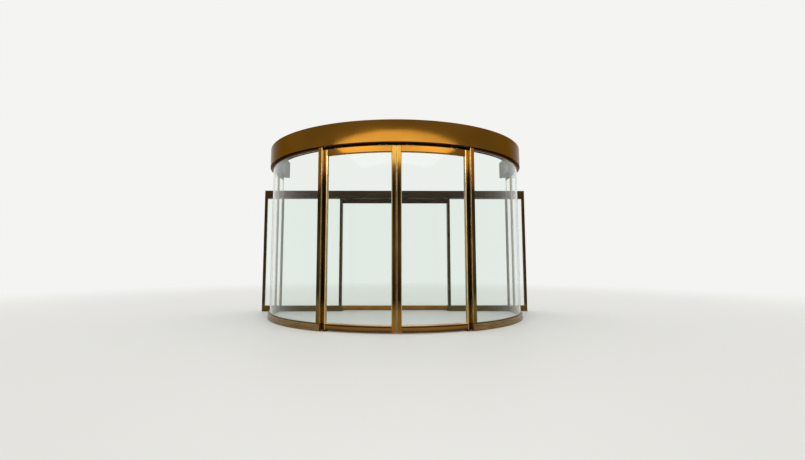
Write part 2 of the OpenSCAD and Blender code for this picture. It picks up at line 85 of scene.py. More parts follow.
# Sizes read from the frame

DRUM_Y = next(j for j in RECORD["behaviour"]["joints"] if j["name"] == "front_right_slide")["pos_m"][1]


def corners(node):
    return [v.co for v in frame["nodes"][node].data.vertices]


def from_axis(co):
    """A point's distance from the drum's axis."""
    return math.hypot(co.x, co.y - DRUM_Y)


def reach(node):
    """Smallest and largest distance of a node's corners from the drum's axis."""
    lengths = [from_axis(co) for co in corners(node)]
    return min(lengths), max(lengths)


def swing(node):
    """Smallest and largest angle of a node on the right-hand side, from the middle of the front."""
    angles = [math.atan2(co.x, DRUM_Y - co.y) for co in corners(node)]
    return min(angles), max(angles)


def levels(node):
    """A node's lowest and highest level."""
    low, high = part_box(node)
    return low.z, high.z


def depths(node):
    """Where a node begins at the front and ends at the back."""
    low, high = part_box(node)
    return low.y, high.y


def steps_out(node):
    """The distinct distances of a node's corners from the middle plane, to 0.1 mm, from the inside out."""
    return sorted({round(abs(co.x), 4) for co in corners(node)})


def on_drum(radius, angle, z):
    """The point at that radius, angle from the middle of the front, and height."""
    return Vector((radius * math.sin(angle), DRUM_Y - radius * math.cos(angle), z))


def outwards(angle):
    """The way out from the drum's axis at an angle."""
    return Vector((math.sin(angle), -math.cos(angle), 0))


def along(angle):
    """The way along the drum, to the right, at an angle."""
    return Vector((math.cos(angle), math.sin(angle), 0))


GLASS_IN, GLASS_OUT = reach("side_glass_right")
LEAF_IN, LEAF_OUT = reach("leaf_right_top_rail")
LEAF_MID = (LEAF_IN + LEAF_OUT) / 2
LEAF_A0, LEAF_A1 = swing("leaf_right_stiles")
LEAF_FOOT, LEAF_HEAD = levels("leaf_right_stiles")
JAMB_IN = reach("jamb_right")[0]
JAMB_A0, JAMB_A1 = swing("jamb_right")
STRIP_TOP = levels("base_right")[1]
CHANNEL_FOOT = levels("head_channel_right")[0]
POST_FRONT, POST_BACK = depths("end_post_right")
POST_A = math.acos((DRUM_Y - POST_FRONT) / GLASS_OUT)
HEADER_IN = reach("header_right")[0]
HEADER_FOOT, HEADER_TOP = levels("header_right")
SCREEN_FRONT, SCREEN_BACK = depths("screen_posts")
SILL_TOP = levels("screen_sills")[1]
BEAM_FOOT = levels("screen_header")[0]
INNER_FRONT, INNER_BACK = depths("inner_right_frame")
INNER_MID = (INNER_FRONT + INNER_BACK) / 2
INNER_X0, *_, INNER_X1 = steps_out("inner_right_frame")
INNER_FOOT, INNER_HEAD = levels("inner_right_frame")


# Materials

def new_material(name):
    """A material with its output and an empty Principled shader: the material, its tree and the shader."""
    material = bpy.data.materials.new(name)
    material.use_nodes = True
    tree = material.node_tree
    tree.nodes.clear()
    shader = add_node(tree, "ShaderNodeBsdfPrincipled")
    add_node(tree, "ShaderNodeOutputMaterial", {"Surface": shader.outputs[0]})
    return material, tree, shader


def set_surface(tree, socket):
    """Makes a socket the surface of its material."""
    output = next(n for n in tree.nodes if n.type == "OUTPUT_MATERIAL")
    tree.links.new(socket, output.inputs["Surface"])


def drum_grain(along_mm, up_mm):
    """Coordinates unrolled about the drum's axis, in grains of that length and width."""
    def coordinates(tree):
        place = add_node(tree, "ShaderNodeTexCoord").outputs["Object"]
        axis = add_node(tree, "ShaderNodeVectorMath", {0: place, 1: (0, DRUM_Y, 0)}, operation="SUBTRACT")
        split = add_node(tree, "ShaderNodeSeparateXYZ", {0: axis.outputs[0]})
        front = add_node(tree, "ShaderNodeMath", {0: split.outputs["Y"], 1: -1.0}, operation="MULTIPLY")
        angle = add_node(tree, "ShaderNodeMath", {0: split.outputs["X"], 1: front.outputs[0]},
                         operation="ARCTAN2")
        level = add_node(tree, "ShaderNodeVectorMath", {0: axis.outputs[0], 1: (1, 1, 0)},
                         operation="MULTIPLY")
        radius = add_node(tree, "ShaderNodeVectorMath", {0: level.outputs[0]}, operation="LENGTH")
        unrolled = add_node(tree, "ShaderNodeCombineXYZ", {
            "X": angle.outputs[0], "Y": radius.outputs["Value"], "Z": split.outputs["Z"]})
        scale = (GLASS_OUT / (along_mm * MM), 1 / (up_mm * MM), 1 / (up_mm * MM))
        return add_node(tree, "ShaderNodeVectorMath", {0: unrolled.outputs[0], 1: scale},
                        operation="MULTIPLY").outputs[0]
    return coordinates


def bar_grain(x_mm, y_mm, z_mm):
    """Coordinates in grains of that size along X, Y and Z."""
    def coordinates(tree):
        place = add_node(tree, "ShaderNodeTexCoord").outputs["Object"]
        scale = tuple(1 / (size * MM) for size in (x_mm, y_mm, z_mm))
        return add_node(tree, "ShaderNodeVectorMath", {0: place, 1: scale}, operation="MULTIPLY").outputs[0]
    return coordinates


def tinted(tree, factor, stops):
    """A colour ramp: stops are (position, hex)."""
    node = add_node(tree, "ShaderNodeValToRGB", {"Fac": factor})
    elements = node.color_ramp.elements
    while len(elements) < len(stops):
        elements.new(0.5)
    for element, (position, colour) in zip(elements, stops):
        element.position = position
        element.color = linear(colour)
    return node.outputs["Color"]


# Most of a noise lies between these values
NOISE_LOW, NOISE_HIGH = 0.3, 0.7


def spread(tree, value, low, high):
    """Stretches a noise's middle range to low and high."""
    return add_node(tree, "ShaderNodeMapRange", {
        "Value": value, "From Min": NOISE_LOW, "From Max": NOISE_HIGH,
        "To Min": low, "To Max": high}).outputs["Result"]


def clouded(tree, clouds, tones, low=NOISE_LOW, high=NOISE_HIGH):
    """Tones in even steps, from the low values of a noise to the high ones."""
    step = (high - low) / (len(tones) - 1)
    return tinted(tree, clouds, [(low + i * step, tone) for i, tone in enumerate(tones)])


WHITE = "#ffffff"
# What clouds make of white at their darkest: three quarters of its light
CLOUD_SHADE = "#e1e1e1"
# Bands of tones by height end here
HEIGHT_MM = 2700
# The mix node's sockets for colours
MIX_A, MIX_B, MIX_RESULT = 6, 7, 2


def banded(tree, clouds, bands):
    """Tones by height: bands are (height in mm, hex). Clouds darken them by up to a quarter."""
    place = add_node(tree, "ShaderNodeTexCoord").outputs["Object"]
    split = add_node(tree, "ShaderNodeSeparateXYZ", {0: place})
    height = add_node(tree, "ShaderNodeMath", {0: split.outputs["Z"], 1: 1 / (HEIGHT_MM * MM)},
                      operation="MULTIPLY")
    base = tinted(tree, height.outputs[0], [(mm / HEIGHT_MM, tone) for mm, tone in bands])
    shade = clouded(tree, clouds, (CLOUD_SHADE, WHITE))
    return add_node(tree, "ShaderNodeMix", {"Factor": 1.0, MIX_A: base, MIX_B: shade},
                    data_type="RGBA", blend_type="MULTIPLY").outputs[MIX_RESULT]


def finished(name, roughness, grain, cloud, bump_mm, tones=None, bands=None, rim=WHITE, metallic=1.0,
             middle=(NOISE_LOW, NOISE_HIGH)):
    """A surface with a clouded tone, and a grain in its gloss and relief. Grain and cloud make coordinates.
    tones follow the clouds, from low to high over their middle range, or bands give tones by height instead.
    rim tints what a metal shows at a glancing angle."""
    material, tree, shader = new_material(name)
    clouds = add_node(tree, "ShaderNodeTexNoise", {
        "Vector": cloud(tree), "Scale": 1.0, "Detail": 3.0}).outputs["Fac"]
    lines = add_node(tree, "ShaderNodeTexNoise", {
        "Vector": grain(tree), "Scale": 1.0, "Detail": 2.0}).outputs["Fac"]
    tone = banded(tree, clouds, bands) if bands else clouded(tree, clouds, tones, *middle)
    tree.links.new(tone, shader.inputs["Base Color"])
    shader.inputs["Specular Tint"].default_value = linear(rim)
    tree.links.new(spread(tree, lines, *roughness), shader.inputs["Roughness"])
    bump = add_node(tree, "ShaderNodeBump", {"Height": lines, "Strength": 0.25, "Distance": bump_mm * MM})
    tree.links.new(bump.outputs[0], shader.inputs["Normal"])
    shader.inputs["Metallic"].default_value = metallic
    return material


# Roughness of brass that is nearly a mirror, and the tone that brass shows at a glancing angle
POLISHED = (0.08, 0.16)
BRASS_RIM = "#cdc2b8"
# Drawing lines up a straight bar, and along a rail of the drum, coarser than real ones so that they show
BAR_LINES = bar_grain(3, 3, 300)
RAIL_LINES = drum_grain(300, 3)

# Brushed brass sheet, lacquered: brown gold with a grain along the curve, drawn ten times coarser to show
BRUSHED_BRASS = finished(
    "brushed_brass_sheet", tones=("#5a3b0f", "#6b4714"), roughness=(0.13, 0.21), grain=drum_grain(400, 4),
    cloud=drum_grain(900, 500), bump_mm=0.02, rim=BRASS_RIM)
# Polished brass stiles, with drawing lines up the bar. Bands by height paint reflections of the
# surroundings: dark along the middle, gold at head and foot
STILE_BRASS = finished(
    "polished_brass_stile", roughness=POLISHED, grain=BAR_LINES, cloud=bar_grain(200, 200, 600), bump_mm=0.02,
    bands=[(0, "#8f6222"), (150, "#936a28"), (260, "#7f5d28"), (330, "#5b4522"), (400, "#261d10"),
           (600, "#2c2212"), (1000, "#43351c"), (1300, "#3a2c16"), (1600, "#261c0e"), (1800, "#2a1f0e"),
           (1930, "#453110"), (2040, "#6d501c"), (2250, "#74561c")], rim=BRASS_RIM)
# The same brass on the fixed posts, with reflections painted in bands by height: olive at the foot,
# dark in the middle, orange gold at the head
POST_BRASS = finished(
    "polished_brass_post", roughness=POLISHED, grain=BAR_LINES, cloud=bar_grain(200, 200, 600), bump_mm=0.02,
    bands=[(100, "#66542c"), (330, "#6e5f3a"), (480, "#332a16"), (1000, "#43371f"), (1300, "#352a16"),
           (1600, "#2b2110"), (1760, "#33260f"), (1900, "#7a4c18"), (2300, "#8c5a1c")], rim=BRASS_RIM)
# Brass drawn along the curve: the leaves' top rails, gold under the lights
HEAD_RAIL_BRASS = finished(
    "gold_brass_rail", tones=("#64400f", "#784f15"), roughness=POLISHED, grain=RAIL_LINES,
    cloud=drum_grain(600, 200), bump_mm=0.02, rim=BRASS_RIM)
# The leaves' bottom rails, banded by height: painted shadow at the foot and in the seam under the glazing
# bead, and a painted highlight on the top chamfer
FOOT_RAIL_BRASS = finished(
    "brass_rail_painted_shade_and_highlight", roughness=(0.12, 0.22), grain=RAIL_LINES, cloud=drum_grain(600, 120), bump_mm=0.02,
    bands=[(14, "#3a2410"), (26, "#5a3a14"), (40, "#7d5a24"), (68, "#946a36"), (71, "#431d07"),
           (87, "#5a2c0c"), (89, "#b8936a"), (98, "#c7a47f")], rim=BRASS_RIM)
# Unlacquered brass channel, gone olive brown under the header
OLIVE_BRASS = finished(
    "olive_brass_channel", tones=("#463320", "#57422a"), roughness=(0.12, 0.22), grain=RAIL_LINES,
    cloud=drum_grain(600, 200), bump_mm=0.02, rim=BRASS_RIM)
# Brass painted light on chamfers, flanks and the jambs' reveals: a painted highlight
BRIGHT_BRASS = finished(
    "painted_highlight_brass_edge", tones=("#bd9d66", "#d6bb88"), roughness=(0.14, 0.24), grain=bar_grain(3, 3, 40),
    cloud=bar_grain(80, 80, 160), bump_mm=0.01)
# Brass painted lighter on the other chamfers and arrises: a softer painted highlight
SOFT_HIGHLIGHT_BRASS = finished(
    "soft_painted_highlight_brass_edge", tones=("#77623c", "#957d52"), roughness=(0.16, 0.28), grain=bar_grain(3, 3, 40),
    cloud=bar_grain(80, 80, 160), bump_mm=0.01)
# Brass plinth dulled by shoes and wet mops: grey gold, satin, with long scuffs along the curve
PLINTH_BRASS = finished(
    "dulled_brass_plinth", tones=("#6a5534", "#7a623c", "#8f734a"), middle=(0.25, 0.75),
    roughness=(0.24, 0.44), grain=drum_grain(250, 3), cloud=drum_grain(180, 25), bump_mm=0.05)
# Aluminium, anodised dark bronze: nearly black brown with a satin sheen, browner at the head, and olive where
# its foot is worn
BRONZE = finished(
    "anodised_bronze_aluminium", roughness=(0.28, 0.40), grain=BAR_LINES, cloud=bar_grain(300, 300, 300),
    bump_mm=0.02, bands=[(40, "#665224"), (100, "#6a5628"), (150, "#40301a"), (1900, "#35280f"),
                         (1980, "#3a2c14"), (2110, "#4a3519")])
# The doors in the screen, of the same bronze, with a painted reflection that makes them golden at the foot
DOOR_BRONZE = finished(
    "bronze_aluminium_painted_foot_reflection", roughness=(0.24, 0.36), grain=BAR_LINES, cloud=bar_grain(300, 300, 300),
    bump_mm=0.02, bands=[(30, "#8a591a"), (60, "#a06c1c"), (100, "#9a6a20"), (150, "#40301a"),
                         (1900, "#35280f")])
# Steel plate, painted the same bronze over its mill scale: satin, with a fine orange peel
PAINTED_STEEL = finished(
    "painted_steel_plate", tones=("#332a1d", "#3f3526"), roughness=(0.38, 0.50), grain=drum_grain(6, 6),
    cloud=drum_grain(400, 400), bump_mm=0.04, metallic=0.0)
# Steel hangers and guides, phosphated and oiled: dark grey with a fine crystal grain, drawn coarser to show
PHOSPHATED = finished(
    "phosphated_steel", tones=("#35322e", "#4a4641"), roughness=(0.35, 0.50), grain=bar_grain(1, 1, 1),
    cloud=bar_grain(20, 20, 20), bump_mm=0.02)
# Galvanised steel: grey with a cloudy spangle
GALVANISED = finished(
    "galvanised_steel", tones=("#8b8f92", "#a9acae"), roughness=(0.35, 0.55), grain=bar_grain(12, 12, 12),
    cloud=bar_grain(25, 25, 25), bump_mm=0.02)
# Stainless screws and bolts, turned: light grey with a tight machined gloss
STAINLESS = finished(
    "turned_stainless_steel", tones=("#b0b1b1", "#c6c7c6"), roughness=(0.18, 0.30), grain=bar_grain(1, 1, 1),
    cloud=bar_grain(10, 10, 10), bump_mm=0.01)
# Polyamide rollers, moulded and oiled by use: ivory, waxy
POLYAMIDE = finished(
    "moulded_polyamide", tones=("#cfc8b4", "#dcd6c6"), roughness=(0.38, 0.50), grain=bar_grain(2, 2, 2),
    cloud=bar_grain(20, 20, 20), bump_mm=0.02, metallic=0.0)
# EPDM rubber, extruded: black with a dry, slightly dusty skin
EPDM = finished(
    "extruded_epdm_rubber", tones=("#1b1b1a", "#262524"), roughness=(0.55, 0.72), grain=bar_grain(2, 2, 2),
    cloud=bar_grain(60, 60, 60), bump_mm=0.03, metallic=0.0)
# Silicone glazing seal: pale grey beige, slightly waxy
SILICONE = finished(
    "silicone_glazing_seal", tones=("#9b917a", "#b0a68d"), roughness=(0.40, 0.55), grain=bar_grain(2, 2, 2),
    cloud=bar_grain(60, 60, 60), bump_mm=0.02, metallic=0.0)
# Polypropylene pile: charcoal bristles, greyer where dust settles
PILE = finished(
    "polypropylene_pile", tones=("#1f1e1d", "#343230"), roughness=(0.75, 0.95), grain=bar_grain(1, 1, 4),
    cloud=bar_grain(30, 30, 30), bump_mm=0.02, metallic=0.0)


def float_glass():
    """Clear float glass, polished, with the faint green of its iron; lamps shine through it.
    Its gloss is kept low, so that the white background veils what stands behind less."""
    material, tree, shader = new_material("clear_float_glass")
    shader.inputs["Base Color"].default_value = linear("#f5faf7")
    shader.inputs["IOR"].default_value = 1.5
    shader.inputs["Transmission Weight"].default_value = 1.0
    shader.inputs["Specular Tint"].default_value = linear("#808080")
    # Wiped glass: a film too thin to see, 150 mm across, that softens the gloss by a hair
    film = add_node(tree, "ShaderNodeTexNoise", {"Vector": bar_grain(150, 150, 150)(tree), "Scale": 1.0})
    tree.links.new(spread(tree, film.outputs["Fac"], 0.0, 0.012), shader.inputs["Roughness"])
    clear = add_node(tree, "ShaderNodeBsdfTransparent", {"Color": linear("#eef5f1")})
    rays = add_node(tree, "ShaderNodeLightPath")
    mix = add_node(tree, "ShaderNodeMixShader", {
        0: rays.outputs["Is Shadow Ray"], 1: shader.outputs[0], 2: clear.outputs[0]})
    set_surface(tree, mix.outputs[0])
    return material


FLOAT_GLASS = float_glass()


# Pieces made from the construction

def linked(name, mesh):
    """A new object in the scene, with a mesh, lamp or lens of its own."""
    piece = bpy.data.objects.new(name, mesh)
    bpy.context.scene.collection.objects.link(piece)
    return piece


def plain_piece(holder, name, body):
    """The evaluated shape of a holder object as a plain piece that rides on a body; the holder goes."""
    mesh = bpy.data.meshes.new_from_object(holder.evaluated_get(bpy.context.evaluated_depsgraph_get()))
    mesh.name = name
    bpy.data.objects.remove(holder)
    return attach(linked(name, mesh), body)


def smooth_mesh(shape, name, turn):
    """A shape as a mesh, smooth but for the edges that turn by more than that. The shape is freed."""
    for face in shape.faces:
        face.smooth = True
    mesh = bpy.data.meshes.new(name)
    shape.to_mesh(mesh)
    shape.free()
    mesh.set_sharp_from_angle(angle=turn)
    return mesh


# A chamfer faces no way more than this, and a flank faces out from the drum less than this
CHAMFER_FACING = 0.85
FLANK_FACING = 0.3
# A flank comes this near to its leaf's outer face, and a face of the strip has its middle this near to the
# strip's top
FLANK_DEPTH = 7 * MM
STRIP_DEPTH = 11 * MM
# How far past a jamb's edge its reveal may lie, in radians
REVEAL_SLACK = 0.002
# Rollers stand this far out from the middle of a door or a leaf, and over its top
INNER_ROLLER_OUT = 2.5 * MM
LEAF_ROLLER_OUT = 4.5 * MM
ROLLER_OVER = 10 * MM


def facing(face):
    """How much a face looks out from the drum, along it, and up, each from 0 to 1."""
    middle = face.calc_center_median()
    out = Vector((middle.x, min(middle.y - DRUM_Y, 0), 0)).normalized()
    return abs(face.normal.dot(out)), abs(face.normal.cross(out).z), abs(face.normal.z)


def is_chamfer(face):
    """Whether a face looks neither out, nor along, nor up, but between them."""
    return max(facing(face)) < CHAMFER_FACING


def is_flank(face):
    """Whether a face of a leaf's frame is a broad one between its chamfers, towards a pane or an edge."""
    farthest = max(from_axis(v.co) for v in face.verts)
    return facing(face)[0] < FLANK_FACING and farthest > LEAF_OUT - FLANK_DEPTH


def is_reveal(face):
    """Whether a face of a jamb looks into the front opening."""
    middle = face.calc_center_median()
    angle = math.atan2(abs(middle.x), DRUM_Y - middle.y)
    return facing(face)[1] > CHAMFER_FACING and angle < JAMB_A0 + REVEAL_SLACK


def is_strip(face):
    """Whether a face of the base is on the glazing strip over the plinth."""
    return face.calc_center_median().z > STRIP_TOP - STRIP_DEPTH


def is_roller(face):
    """Whether a face of the hangers is on a roller: outside the plate and over its foot."""
    points = [v.co for v in face.verts]
    if points[0].y > SCREEN_BACK:
        return all(co.y > INNER_MID + INNER_ROLLER_OUT and co.z > INNER_HEAD + ROLLER_OVER for co in points)
    return all(from_axis(co) > LEAF_MID + LEAF_ROLLER_OUT and co.z > LEAF_HEAD + ROLLER_OVER for co in points)


# The construction's points closer than this are one, and its faces that turn less than this are one
WELD = 0.02 * MM
FLAT = math.radians(0.4)
# Edges that turn by less than this are shown smooth, on the construction's shapes and on those built here
SMOOTH_TURN = math.radians(30)
BUILT_SMOOTH_TURN = math.radians(35)
ARRIS_SEGMENTS = 2
# Material slots: the main finish comes first, then that of the arrises, then those of the zones
EDGE_SLOT, ZONE_SLOT = 1, 2


def dressed(node, finish, arris_mm=0.0, edge=None, zones=()):
    """Stands for a CAD node: the same shape, welded, with smooth curves and rounded arrises. edge finishes
    the arrises. zones are (test, finish) for the faces that differ; the first that holds counts."""
    shape = bmesh.new()
    shape.from_mesh(frame["nodes"][node].data)
    bmesh.ops.remove_doubles(shape, verts=shape.verts, dist=WELD)
    bmesh.ops.dissolve_limit(shape, angle_limit=FLAT, verts=shape.verts, edges=shape.edges)
    for face in shape.faces:
        face.material_index = next((i for i, (test, other) in enumerate(zones, ZONE_SLOT) if test(face)), 0)
    mesh = smooth_mesh(shape, node + "_welded", SMOOTH_TURN)
    for each in (finish, edge or finish, *(other for test, other in zones)):
        mesh.materials.append(each)
    holder = linked(node + "_holder", mesh)
    if arris_mm:
        bevel = holder.modifiers.new("arris", "BEVEL")
        bevel.width = arris_mm * MM
        bevel.segments = ARRIS_SEGMENTS
        bevel.limit_method = "ANGLE"
        bevel.angle_limit = SMOOTH_TURN
        bevel.harden_normals = True
        bevel.material = EDGE_SLOT if edge else -1
    piece = plain_piece(holder, node + "_dressed", BODY_OF[node])
    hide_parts(node)


# Zones painted lighter than their brass: painted highlights on chamfers, flanks and reveals
SOFT_HIGHLIGHT_CHAMFER = (is_chamfer, SOFT_HIGHLIGHT_BRASS)
BRIGHT_CHAMFER = (is_chamfer, BRIGHT_BRASS)
BRIGHT_FLANK = (is_flank, BRIGHT_BRASS)
ROLLERS = (is_roller, POLYAMIDE)
FINISH = {
    "fascia_front": dict(finish=BRUSHED_BRASS, arris_mm=0.7),
    "header_front": dict(finish=PAINTED_STEEL, arris_mm=0.8),
    "curved_track": dict(finish=GALVANISED),
    "screen_header": dict(finish=BRONZE, arris_mm=1.0),
    "operator_cover": dict(finish=BRONZE, arris_mm=0.8),
    "screen_posts": dict(finish=BRONZE, arris_mm=1.5),
    "mullions": dict(finish=POST_BRASS, arris_mm=1.5, edge=SOFT_HIGHLIGHT_BRASS),
    "screen_sills": dict(finish=BRONZE, arris_mm=1.5),
    "sidelight_glass": dict(finish=FLOAT_GLASS),
    "outer_light_glass": dict(finish=FLOAT_GLASS),
    "screen_track": dict(finish=GALVANISED),
    "floor_guides": dict(finish=PHOSPHATED, arris_mm=0.6),
}
SIDE_FINISH = {
    "fascia": dict(finish=BRUSHED_BRASS, arris_mm=0.7),
    "header": dict(finish=PAINTED_STEEL, arris_mm=0.8),
    "base": dict(finish=PLINTH_BRASS, arris_mm=1.0, zones=(SOFT_HIGHLIGHT_CHAMFER, (is_strip, OLIVE_BRASS))),
    "head_channel": dict(finish=OLIVE_BRASS, arris_mm=0.8),
    # The jamb's chamfers and its reveal into the opening take painted highlights
    "jamb": dict(finish=POST_BRASS, arris_mm=0.8, zones=(SOFT_HIGHLIGHT_CHAMFER, (is_reveal, BRIGHT_BRASS))),
    "end_post": dict(finish=POST_BRASS, arris_mm=0.8, zones=(SOFT_HIGHLIGHT_CHAMFER,)),
    "side_glass": dict(finish=FLOAT_GLASS),
    "return_glass": dict(finish=FLOAT_GLASS),
}
LEAF_FINISH = {
    "top_rail": dict(finish=HEAD_RAIL_BRASS, arris_mm=0.8),
    "bottom_rail": dict(finish=FOOT_RAIL_BRASS, arris_mm=0.8, zones=(BRIGHT_FLANK,)),
    "stiles": dict(finish=STILE_BRASS, arris_mm=0.8, zones=(BRIGHT_CHAMFER, BRIGHT_FLANK)),
    "glass": dict(finish=FLOAT_GLASS),
    "hangers": dict(finish=PHOSPHATED, zones=(ROLLERS,)),
}
INNER_FINISH = {
    "frame": dict(finish=DOOR_BRONZE, arris_mm=1.5),
    "glass": dict(finish=FLOAT_GLASS),
    "hangers": dict(finish=PHOSPHATED, zones=(ROLLERS,)),
}
for side in SIDES:
    FINISH.update({f"{part}_{side}": finish for part, finish in SIDE_FINISH.items()})
    FINISH.update({f"leaf_{side}_{part}": finish for part, finish in LEAF_FINISH.items()})
    FINISH.update({f"inner_{side}_{part}": finish for part, finish in INNER_FINISH.items()})
for node, finish in FINISH.items():
    dressed(node, **finish)


# Trees of nodes that repeat or follow

def new_group(name, inputs):
    """A geometry tree with a geometry in and out, and these inputs: the tree and its input sockets."""
    group = bpy.data.node_groups.new(name, "GeometryNodeTree")
    group.interface.new_socket("Geometry", in_out="INPUT", socket_type="NodeSocketGeometry")
    for label, kind in inputs.items():
        group.interface.new_socket(label, in_out="INPUT", socket_type=kind)
    group.interface.new_socket("Geometry", in_out="OUTPUT", socket_type="NodeSocketGeometry")
    return group, add_node(group, "NodeGroupInput").outputs


def close_group(group, geometry, material):
    """Ends a tree: makes its copies real and gives them their material."""
    real = add_node(group, "GeometryNodeRealizeInstances", {"Geometry": geometry})
    painted = add_node(group, "GeometryNodeSetMaterial", {"Geometry": real.outputs[0], "Material": material})
    add_node(group, "NodeGroupOutput", {"Geometry": painted.outputs[0]})


BEAD_SIDES = 8
BRISTLE_SIDES = 3
# How far a bristle's tip strays, as a share of its length
ASTRAY = 0.12


def bead_tree():
    """A round bead along each path."""
    group, given = new_group("round_bead", {"Radius": "NodeSocketFloat", "Material": "NodeSocketMaterial"})
    path = add_node(group, "GeometryNodeMeshToCurve", {"Mesh": given["Geometry"]})
    section = add_node(group, "GeometryNodeCurvePrimitiveCircle", {
        "Resolution": BEAD_SIDES, "Radius": given["Radius"]})
    bead = add_node(group, "GeometryNodeCurveToMesh", {
        "Curve": path.outputs[0], "Profile Curve": section.outputs[0], "Fill Caps": True})
    smooth = add_node(group, "GeometryNodeSetShadeSmooth", {"Geometry": bead.outputs[0]})
    close_group(group, smooth.outputs[0], given["Material"])
    return group


def bristle_tree():
    """Bristles along each path, a little astray, that point as the path's attribute pile says."""
    group, given = new_group("bristles", {
        "Spacing": "NodeSocketFloat", "Length": "NodeSocketFloat", "Thickness": "NodeSocketFloat",
        "Seed": "NodeSocketInt", "Material": "NodeSocketMaterial"})
    path = add_node(group, "GeometryNodeMeshToCurve", {"Mesh": given["Geometry"]})
    spaced = add_node(group, "GeometryNodeResampleCurve", {
        "Curve": path.outputs[0], "Length": given["Spacing"]}, mode="LENGTH")
    bristle = add_node(group, "GeometryNodeMeshCone", {
        "Vertices": BRISTLE_SIDES, "Radius Top": 0.0, "Radius Bottom": given["Thickness"],
        "Depth": given["Length"]})
    pile = add_node(group, "GeometryNodeInputNamedAttribute", {"Name": "pile"}, data_type="FLOAT_VECTOR")
    astray = add_node(group, "FunctionNodeRandomValue", {
        "Min": (-ASTRAY,) * 3, "Max": (ASTRAY,) * 3, "Seed": given["Seed"]}, data_type="FLOAT_VECTOR")
    way = add_node(group, "ShaderNodeVectorMath", {0: pile.outputs["Attribute"], 1: astray.outputs["Value"]},
                   operation="ADD")
    turn = add_node(group, "FunctionNodeAlignRotationToVector", {"Vector": way.outputs[0]}, axis="Z")
    copies = add_node(group, "GeometryNodeInstanceOnPoints", {
        "Points": spaced.outputs[0], "Instance": bristle.outputs["Mesh"], "Rotation": turn.outputs[0]})
    close_group(group, copies.outputs[0], given["Material"])
    return group


def fastener_tree():
    """A head on each point, that looks the way the point's attribute facing says."""
    group, given = new_group("fastener_heads", {"Head": "NodeSocketObject", "Material": "NodeSocketMaterial"})
    head = add_node(group, "GeometryNodeObjectInfo", {"Object": given["Head"]})
    look = add_node(group, "GeometryNodeInputNamedAttribute", {"Name": "facing"}, data_type="FLOAT_VECTOR")
    turn = add_node(group, "FunctionNodeAlignRotationToVector", {"Vector": look.outputs["Attribute"]},
                    axis="Z")
    copies = add_node(group, "GeometryNodeInstanceOnPoints", {
        "Points": given["Geometry"], "Instance": head.outputs["Geometry"], "Rotation": turn.outputs[0]})
    close_group(group, copies.outputs[0], given["Material"])
    return group


def grown(name, body, group, mesh, values):
    """Runs a geometry tree on a mesh, and makes the result a plain piece on a body."""
    holder = linked(name + "_holder", mesh)
    modifier = holder.modifiers.new(name, "NODES")
    modifier.node_group = group
    sockets = {i.name: i.identifier for i in group.interface.items_tree if i.in_out == "INPUT"}
    for label, value in values.items():
        modifier[sockets[label]] = value
    return plain_piece(holder, name, body)


def store(mesh, label, vectors):
    """Stores a vector with each of a mesh's points."""
    values = [number for vector in vectors for number in vector]
    mesh.attributes.new(label, "FLOAT_VECTOR", "POINT").data.foreach_set("vector", values)


def path_mesh(paths, direction=lambda point: (0, 0, 0)):
    """Open paths as a mesh of edges. direction gives each point its pile."""
    mesh = bpy.data.meshes.new("paths")
    points, edges = [], []
    for path in paths:
        edges += [(i, i + 1) for i in range(len(points), len(points) + len(path) - 1)]
        points += path
    mesh.from_pydata(points, edges, [])
    store(mesh, "pile", [direction(point) for point in points])
    return mesh


def stops_between(start, end, longest):
    """Values from start to end, in equal steps that are no longer than that."""
    count = max(1, math.ceil(abs(end - start) / longest))
    return [start + (end - start) * i / count for i in range(count + 1)]


# Gaskets round the panes

GASKET_R = 2.4 * MM
# How far a gasket's middle lies over the edge that it seats on
GASKET_SEAT = 1.0 * MM
# The longest step along a curved piece, and one longer than any straight piece
ARC_STEP = math.radians(1.5)
WHOLE = 5.0


def round_pane(place, u0, u1, z0, z1, faces, step, per_length=lambda face: 1.0):
    """Paths of the gaskets round a pane. place puts (along, face, height) into the frame, and per_length is
    the step along for a metre on a face."""
    for face in faces:
        inset = GASKET_SEAT * per_length(face)
        for z in (z0 + GASKET_SEAT, z1 - GASKET_SEAT):
            yield [place(u, face, z) for u in stops_between(u0, u1, step)]
        for u in (u0 + inset, u1 - inset):
            yield [place(u, face, z) for z in (z0, z1)]


def round_curved_pane(sign, faces, a0, a1, z0, z1):
    """Round a pane on the drum, between two angles. faces are radii."""
    return round_pane(lambda a, r, z: on_drum(r, sign * a, z), a0, a1, z0, z1, faces, ARC_STEP,
                      per_length=lambda r: 1 / r)


def round_flat_pane(sign, faces, x0, x1, z0, z1):
    """Round a pane across the entrance, between two distances from its middle. faces are depths."""
    return round_pane(lambda x, y, z: Vector((sign * x, y, z)), x0, x1, z0, z1, faces, WHOLE)


def round_return(sign, faces, y0, y1, z0, z1):
    """Round a pane at the entrance's side, between two depths. faces are distances from the middle."""
    return round_pane(lambda y, x, z: Vector((sign * x, y, z)), y0, y1, z0, z1, faces, WHOLE)


def both_faces(low, high):
    """Where beads run along a pane from low to high: just in front and just behind."""
    return low - GASKET_R, high + GASKET_R


BEAD = bead_tree()
# The inner panes stand this deep in their frame's grooves, at the foot and elsewhere
INNER_BITE_FOOT, INNER_BITE = 18 * MM, 16 * MM


def gaskets(name, body, paths):
    """Silicone beads along paths, as one piece on a body."""
    grown(name, body, BEAD, path_mesh(paths), {"Radius": GASKET_R, "Material": SILICONE})


